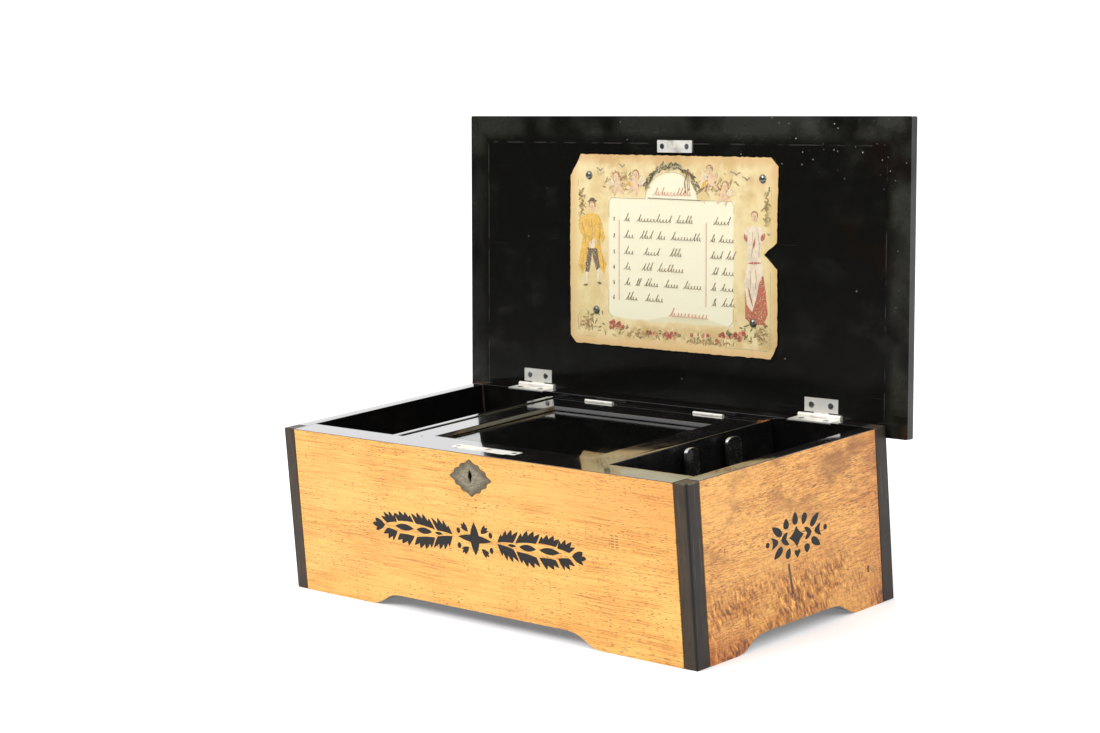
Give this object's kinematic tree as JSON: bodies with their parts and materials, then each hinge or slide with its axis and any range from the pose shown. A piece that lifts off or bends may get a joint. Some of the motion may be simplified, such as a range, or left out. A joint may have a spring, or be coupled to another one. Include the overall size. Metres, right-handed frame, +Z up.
{
  "type": "cylinder music box",
  "caption": "Wooden cylinder music box with hinged lid, glazed inner lid, winding lever, control levers, comb, spring barrel and governor.",
  "frame": {"origin": "on the surface it stands on, under the middle of its bounding box with the lid open as modelled", "axes": "+X to the right along the front of the case, +Y to the rear, +Z up"},
  "size_m": [0.432, 0.236, 0.3285],
  "materials": {
    "veneer": "golden veneer with fine grain, shellac polish, black inlay",
    "side_veneer": "browner figured veneer, shellac polish",
    "ebonised": "black stained wood, satin polish, worn edges",
    "black_lacquer": "black lacquered wood, scuffed",
    "inner_wood": "dark stained wood",
    "nickel": "polished nickel plate",
    "steel": "ground steel",
    "brass": "turned brass, lightly tarnished",
    "iron": "painted cast iron",
    "shell": "aged grey shell inlay",
    "paper": "printed card, foxed",
    "glass": "clear flat glass"
  },
  "bodies": {
    "case": {"front_board": "veneer", "rear_board": "side_veneer", "left_side_board": "side_veneer", "right_side_board": "side_veneer", "bottom_board": "inner_wood", "corner_post_front_left": "ebonised", "corner_post_front_right": "ebonised", "corner_post_rear_left": "ebonised", "corner_post_rear_right": "ebonised", "left_partition": "black_lacquer", "right_partition": "black_lacquer", "hinge_rail": "black_lacquer", "glass_lid_rest": "black_lacquer", "escutcheon": "shell", "lock_case": "nickel", "lid_hinge_case_leaf_left": "nickel", "lid_hinge_case_leaf_right": "nickel", "glass_hinge_rail_leaf_left": "nickel", "glass_hinge_rail_leaf_right": "nickel", "bedplate": "iron", "barrel_bridge": "brass", "centre_bridge": "brass", "right_bridge": "brass", "governor_plate": "brass", "endless_screw_cock": "brass", "comb_base": "brass", "comb": "steel", "winding_plate": "brass", "control_bracket": "brass"},
    "lid": {"lid_board": "black_lacquer", "lid_moulding": "ebonised", "lid_top_panel": "veneer", "tune_card": "paper", "strike_plate": "nickel", "lid_hinge_leaf_left": "nickel", "lid_hinge_leaf_right": "nickel"},
    "glass_lid": {"glass_frame": "black_lacquer", "glass_pane": "glass", "glass_hinge_leaf_left": "nickel", "glass_hinge_leaf_right": "nickel"},
    "lock_bolt": {"lock_bolt": "steel"},
    "winding_lever": {"winding_lever": "steel", "winding_knob": "ebonised"},
    "lever_click": {"lever_click": "steel"},
    "holding_click": {"holding_click": "steel"},
    "winding_arbor": {"winding_arbor": "steel", "ratchet_wheel": "steel"},
    "barrel": {"spring_barrel": "brass", "barrel_cover": "brass", "mainspring": "steel"},
    "cylinder_arbor": {"cylinder_arbor": "steel", "cylinder_wheel": "brass"},
    "cylinder": {"cylinder": "brass"},
    "governor_wheel_1": {"governor_wheel_1": "brass"},
    "governor_wheel_2": {"governor_wheel_2": "brass"},
    "fly": {"endless_screw": "steel"},
    "change_repeat_lever": {"change_repeat_lever": "nickel"},
    "play_stop_lever": {"play_stop_lever": "nickel"}
  },
  "joints": [
    {"name": "lid_hinge", "type": "hinge", "parent": "case", "child": "lid", "pos_m": [0, 0.08614, 0.1218], "axis": [-1, 0, 0], "range_deg": [-95.5, 0]},
    {"name": "glass_lid_hinge", "type": "hinge", "parent": "case", "child": "glass_lid", "pos_m": [0, 0.06694, 0.1189], "axis": [-1, 0, 0], "range_deg": [0, 95]},
    {"name": "lock_bolt_slide", "type": "slide", "parent": "case", "child": "lock_bolt", "axis": [1, 0, 0], "range_m": [0, 0.0055]},
    {"name": "winding_lever_hinge", "type": "hinge", "parent": "case", "child": "winding_lever", "pos_m": [-0.123, -0.01776, 0.056], "axis": [-1, 0, 0], "range_deg": [0, 75]},
    {"name": "lever_click_hinge", "type": "hinge", "parent": "winding_lever", "child": "lever_click", "pos_m": [-0.114, -0.03848, 0.06998], "axis": [1, 0, 0], "range_deg": [0, 12], "stiffness_Nm_per_rad": 0.003},
    {"name": "holding_click_hinge", "type": "hinge", "parent": "case", "child": "holding_click", "pos_m": [-0.114, 0.00624, 0.042], "axis": [1, 0, 0], "range_deg": [0, 12], "stiffness_Nm_per_rad": 0.003},
    {"name": "winding_arbor_turn", "type": "hinge", "parent": "case", "child": "winding_arbor", "pos_m": [-0.09, -0.01776, 0.056], "axis": [1, 0, 0], "continuous": true},
    {"name": "cylinder_turn", "type": "hinge", "parent": "case", "child": "cylinder_arbor", "pos_m": [0, 0.01024, 0.056], "axis": [1, 0, 0], "continuous": true},
    {"name": "tune_change_slide", "type": "slide", "parent": "cylinder_arbor", "child": "cylinder", "axis": [1, 0, 0], "range_m": [0, 0.0024]},
    {"name": "barrel_turn", "type": "hinge", "parent": "case", "child": "barrel", "pos_m": [-0.08, -0.01776, 0.056], "axis": [1, 0, 0], "continuous": true},
    {"name": "governor_wheel_1_turn", "type": "hinge", "parent": "case", "child": "governor_wheel_1", "pos_m": [0.07, -0.01776, 0.056], "axis": [1, 0, 0], "continuous": true},
    {"name": "governor_wheel_2_turn", "type": "hinge", "parent": "case", "child": "governor_wheel_2", "pos_m": [0.07, -0.03276, 0.056], "axis": [1, 0, 0], "continuous": true},
    {"name": "fly_turn", "type": "hinge", "parent": "case", "child": "fly", "pos_m": [0.077, -0.04471, 0.06], "axis": [0, 0, 1], "continuous": true},
    {"name": "change_repeat_hinge", "type": "hinge", "parent": "case", "child": "change_repeat_lever", "pos_m": [0.114, -0.01826, 0.06], "axis": [1, 0, 0], "range_deg": [0, 14]},
    {"name": "play_stop_hinge", "type": "hinge", "parent": "case", "child": "play_stop_lever", "pos_m": [0.114, 0.02424, 0.06], "axis": [1, 0, 0], "range_deg": [0, 14]}
  ],
  "couplings": [
    {"joint": "barrel_turn", "follows": "cylinder_turn", "ratio": -0.27273},
    {"joint": "governor_wheel_1_turn", "follows": "cylinder_turn", "ratio": -6},
    {"joint": "governor_wheel_2_turn", "follows": "cylinder_turn", "ratio": 18},
    {"joint": "fly_turn", "follows": "cylinder_turn", "ratio": 108}
  ]
}
